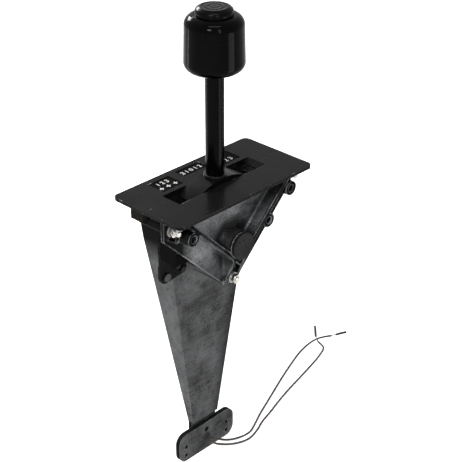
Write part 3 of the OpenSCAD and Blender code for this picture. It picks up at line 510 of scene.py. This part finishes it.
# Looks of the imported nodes

def dress_nodes():
    raw = casting("channel_casting_look", 0.050, 0.25, cool=0.02, shades=CHANNEL_PAINTED_SHADES,
                  side_painted_shade=CHANNEL_SIDE_PAINTED_SHADE)
    front = casting("front_casting_look", 0.100, 0.35, 0.0011, cool=0.03, edge_rub_and_highlight=(0.15, 0.85),
                    shades=FRONT_SHADES, boss_painted_shade=FRONT_BOSS_PAINTED_SHADE)
    hub = casting("hub_casting_look", 0.05)
    bracket = casting("bracket_look", 0.006, 0.05)
    cap = casting("cap_look", 0.011, 0.2)
    coat = black_coat("plate_coat_look", 0.005, 0.26, 0.045, chips=0.7)
    shoe = black_coat("dome_coat_look", 0.003, 0.26, 0.06)
    tube = black_coat("tube_coat_look", 0.0010, 0.18, 0.035)
    gloss = gloss_black("knob_look", 0.0010, 0.10, 0.035)
    button = gloss_black("button_look", 0.0015, 0.22, 0.045, rings=True)
    zinc = metal("zinc_look", (0.42, 0.41, 0.38, 1), 0.30)
    dull = metal("dull_zinc_look", (0.045, 0.045, 0.042, 1), 0.38)
    dark = metal("dark_screw_look", (0.012, 0.012, 0.011, 1), 0.42)
    steel = metal("steel_look", STEEL, 0.30)
    brass = metal("brass_look", (0.70, 0.52, 0.24, 1), 0.28)
    plastic = plain_plastic("switch_plastic_look", (0.002, 0.002, 0.0023, 1), 0.6, gloss=0.015)
    red = plain_plastic("plunger_look", (0.35, 0.03, 0.02, 1), 0.4)
    legend = plain_plastic("legend_look", (0.002, 0.002, 0.0023, 1), 0.7, gloss=0.02)
    fibre = plain_plastic("fibre_look", (0.016, 0.015, 0.012, 1), 0.85, 0.003, gloss=0.03)
    rubber = plain_plastic("rubber_look", (0.050, 0.050, 0.051, 1), 0.7, gloss=0.05)
    looks = {
        raw: ["rear_housing"],
        front: ["front_housing"],
        hub: ["lever_hub"],
        bracket: ["switch_bracket"],
        cap: ["pivot_cap"],
        coat: ["top_plate_front", "top_plate_rear"],
        shoe: ["slot_dome"],
        tube: ["lever_tube"],
        gloss: ["knob", "neck_collar"],
        button: ["release_button"],
        zinc: ["plate_screws", "corner_nuts", "corner_washers", "lower_nut", "lower_washers",
               "throttle_arm", "arm_washer", "arm_nut"],
        dull: ["detent_screw", "switch_screws", "lead_screw", "lead_nut", "tube_washer"],
        dark: ["bracket_screws"],
        steel: ["switch_arm", "hub_pin", "pivot_shaft", "release_rod"],
        brass: ["front_bush", "rear_bush", "thrust_washer", "knob_bush", "cable_swivel"],
        plastic: ["switch_body"],
        red: ["switch_plunger"],
        legend: ["legend_left", "legend_middle", "legend_right"],
        fibre: ["end_packing", "friction_washer"],
        rubber: ["wire_grommet"],
    }
    for material, names in looks.items():
        for name in names:
            wear(NODES[name], material)


# Round bodies of rings, for the bolts and the coil

def join_rings(shape, rings):
    """Faces between neighbouring rings of points, and one at each end."""
    count = len(rings[0])
    for first, second in zip(rings, rings[1:]):
        for k in range(count):
            n = (k + 1) % count
            shape.faces.new((first[k], first[n], second[n], second[k]))
    shape.faces.new(rings[0][::-1])
    shape.faces.new(rings[-1])


def finished_mesh(name, shape, sharp_from):
    """A smooth mesh of the shape, with its edges sharp from an angle in degrees."""
    mesh = bpy.data.meshes.new(name)
    bmesh.ops.recalc_face_normals(shape, faces=shape.faces)
    shape.to_mesh(mesh)
    shape.free()
    mesh.shade_smooth()
    mesh.set_sharp_from_angle(angle=math.radians(sharp_from))
    return mesh


# Bolts with real threads

def thread_cut(y, turn):
    """Depth of the groove at a place along the bolt and a share of a turn round it."""
    phase = (y / THREAD_PITCH - turn) % 1.0
    return THREAD_DEPTH * abs(2 * phase - 1)


def hex_reach(turn, reach):
    """Distance from the axis to the side of a hexagon whose corners are at reach."""
    return reach * math.cos(math.pi / 6) / math.cos((turn * 6 % 1.0 - 0.5) * math.pi / 3)


def threads(start, end):
    """Profile of a threaded stretch."""
    count = max(1, round(abs(end - start) / THREAD_PITCH * PLACES_A_PITCH))
    return [(start + (end - start) * i / count, BOLT_R, "thread") for i in range(count + 1)]


def turn_profile(shape, axis, profile):
    """Turns a profile of places along Y, each with a radius and a form, into a closed body."""
    rings = []
    for y, radius, form in profile:
        ring = []
        for k in range(AROUND):
            turn = k / AROUND
            reach = hex_reach(turn, radius) if form == "hex" else radius
            if form == "thread":
                reach -= thread_cut(y, turn)
            angle = 2 * math.pi * turn
            place = (axis[0] + reach * math.cos(angle), y, axis[1] + reach * math.sin(angle))
            ring.append(shape.verts.new(place))
        rings.append(ring)
    join_rings(shape, rings)


def bolt_object(name, node, axes, profile, material):
    """Bolts of one profile on several axes, in place of a node."""
    shape = bmesh.new()
    for axis in axes:
        turn_profile(shape, axis, profile)
    piece = add_object(name, finished_mesh(name, shape, 30))
    wear(piece, material)
    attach(piece, "root")
    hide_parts(node)


def corner_profile():
    """Bevelled tip, thread, plain shank and round head."""
    tip, back = CORNER_ENDS
    neck = back - CORNER_HEAD
    small = BOLT_R - BOLT_CHAMFER
    profile = [(tip, small, "round"), (tip + TIP_STEP, small + TIP_STEP, "round")]
    profile += threads(tip + THREAD_RUN_OUT, tip + CORNER_THREAD)
    profile += [(tip + CORNER_THREAD + THREAD_RUN_OUT, BOLT_R, "round"), (neck, BOLT_R, "round"),
                (neck, BOLT_HEAD_R, "round"), (back - BOLT_CHAMFER, BOLT_HEAD_R, "round"),
                (back, BOLT_HEAD_R - BOLT_CHAMFER, "round")]
    return profile


def lower_profile():
    """Domed tip, hexagon with bevelled ends, plain shank and thread."""
    tip, back = LOWER_ENDS
    foot, low, high, top = LOWER_HEAD
    profile = [(tip + place, radius, "round") for place, radius in LOWER_TIP]
    profile += [(tip + foot, LOWER_BEVEL_R, "round"), (tip + low, BOLT_HEAD_R, "hex"),
                (tip + high, BOLT_HEAD_R, "hex"), (tip + top, LOWER_BEVEL_R, "round"),
                (tip + top, BOLT_R, "round"), (back - LOWER_THREAD, BOLT_R, "round")]
    profile += threads(back - LOWER_THREAD + THREAD_RUN_OUT, back - THREAD_RUN_OUT)
    profile += [(back, LOWER_BACK_R, "round")]
    return profile


def make_bolts():
    bright = metal("threaded_zinc_look", (0.52, 0.51, 0.47, 1), 0.26)
    bolt_object("corner_bolts_threaded", "corner_bolts", CORNER_AXES, corner_profile(), bright)
    bolt_object("lower_bolt_threaded", "lower_bolt", (LOWER_AXIS,), lower_profile(), bright)


# Springs, drawn in place of their nodes

def coil_mesh(name, radius, low, high):
    """Round wire in a coil about Z, between two heights of its centre line."""
    shape = bmesh.new()
    rings = []
    steps = COIL_STEPS * SPRING_TURNS
    for i in range(steps + 1):
        angle = -2 * math.pi * i / COIL_STEPS
        height = low + (high - low) * i / steps
        ring = []
        for k in range(COIL_SIDES):
            side = 2 * math.pi * k / COIL_SIDES
            reach = radius + SPRING_WIRE / 2 * math.cos(side)
            place = (reach * math.cos(angle), reach * math.sin(angle),
                     height + SPRING_WIRE / 2 * math.sin(side))
            ring.append(shape.verts.new(place))
        rings.append(ring)
    join_rings(shape, rings)
    return finished_mesh(name, shape, 50)


def make_springs():
    spring_steel = metal("spring_look", STEEL, 0.30)
    low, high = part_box("button_spring")
    radius = (high.x - low.x - SPRING_WIRE) / 2
    mesh = coil_mesh("button_coil", radius, low.z + SPRING_WIRE / 2, high.z - SPRING_WIRE / 2)
    coil = add_object("button_coil", mesh)
    leaf = add_object("detent_leaf_spring", NODES["detent_leaf"].data.copy())
    for piece, body, node in ((coil, "lever", "button_spring"), (leaf, "root", "detent_leaf")):
        wear(piece, spring_steel)
        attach(piece, body)
        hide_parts(node)
    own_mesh(coil)
    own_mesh(leaf)


# Generic marks on the legend inserts

def mark(name, text, height, place, material):
    """Plain figures that lie on a legend insert."""
    data = bpy.data.curves.new(name, "FONT")
    data.body = text
    data.size = height
    data.align_x = "CENTER"
    data.align_y = "CENTER"
    data.extrude = MARK_THICK * MM
    data.offset = MARK_BOLD * MM
    data.materials.append(material)
    piece = add_object(name, data)
    piece.matrix_world = Matrix.Translation(place)
    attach(piece, "root")


def make_legends():
    white = plain_plastic("mark_white_look", (0.8, 0.8, 0.78, 1), 0.6, 0.002)
    for i, (name, text, size, shift) in enumerate(MARKS):
        low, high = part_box(name)
        centre = (low + high) / 2
        place = Vector((centre.x, centre.y + shift * MM, high.z + MARK_LIFT * MM))
        mark("%s_marks_%d" % (name, i), text, size * MM, place, white)


# Floor and light

def seen_rays(tree):
    """1 for camera, glossy and transmission rays, and 0 for the rays that light the object."""
    path = tree.nodes.new("ShaderNodeLightPath")
    total = path.outputs["Is Camera Ray"]
    for kind in ("Is Glossy Ray", "Is Transmission Ray"):
        more = tree.nodes.new("ShaderNodeMath")
        more.operation = "MAXIMUM"
        tree.links.new(total, more.inputs[0])
        tree.links.new(path.outputs[kind], more.inputs[1])
        total = more.outputs["Value"]
    return total


def floor_look():
    """White floor that keeps the object's shadow."""
    look = Graph("floor_look")
    look.set(Base_Color=grey(FLOOR_GREY), Roughness=1.0, Specular_IOR_Level=0.0, Emission_Color=grey(1.0),
             Emission_Strength=look.times(seen_rays(look.tree), FLOOR_GLOW))
    return look.material


def make_floor():
    mesh = bpy.data.meshes.new("floor")
    shape = bmesh.new()
    bmesh.ops.create_grid(shape, x_segments=1, y_segments=1, size=FLOOR_SIZE / 2)
    shape.to_mesh(mesh)
    shape.free()
    floor = add_object("floor", mesh)
    floor.location.z = FLOOR_Z
    wear(floor, floor_look())


def make_world():
    world = bpy.data.worlds.new("studio")
    world.use_nodes = True
    tree = world.node_tree
    sky = tree.nodes["Background"]
    sky.inputs["Color"].default_value = grey(1.0)
    strength = tree.nodes.new("ShaderNodeMapRange")
    strength.inputs["To Min"].default_value = WORLD_LIGHT
    strength.inputs["To Max"].default_value = WORLD_SEEN
    tree.links.new(seen_rays(tree), strength.inputs["Value"])
    tree.links.new(strength.outputs["Result"], sky.inputs["Strength"])
    bpy.context.scene.world = world


def area_light(name, place, aim, size, power, lights_object):
    """A lamp that looks from its place at its aim."""
    data = bpy.data.lights.new(name, "AREA")
    data.shape = "RECTANGLE"
    data.size, data.size_y = size
    data.energy = power
    light = add_object(name, data)
    turn = (Vector(aim) - Vector(place)).to_track_quat("-Z", "Y").to_matrix().to_4x4()
    light.matrix_world = Matrix.Translation(place) @ turn
    light.visible_diffuse = lights_object


def make_lights():
    for lamp in LAMPS:
        area_light(*lamp, lights_object=True)
    for lamp in STREAK_LAMPS:
        area_light(*lamp, lights_object=False)
    bpy.context.scene.view_settings.view_transform = "Standard"


make_camera()
make_leads()
dress_nodes()
make_bolts()
make_springs()
make_legends()
make_floor()
make_world()
make_lights()

bpy.context.view_layer.update()
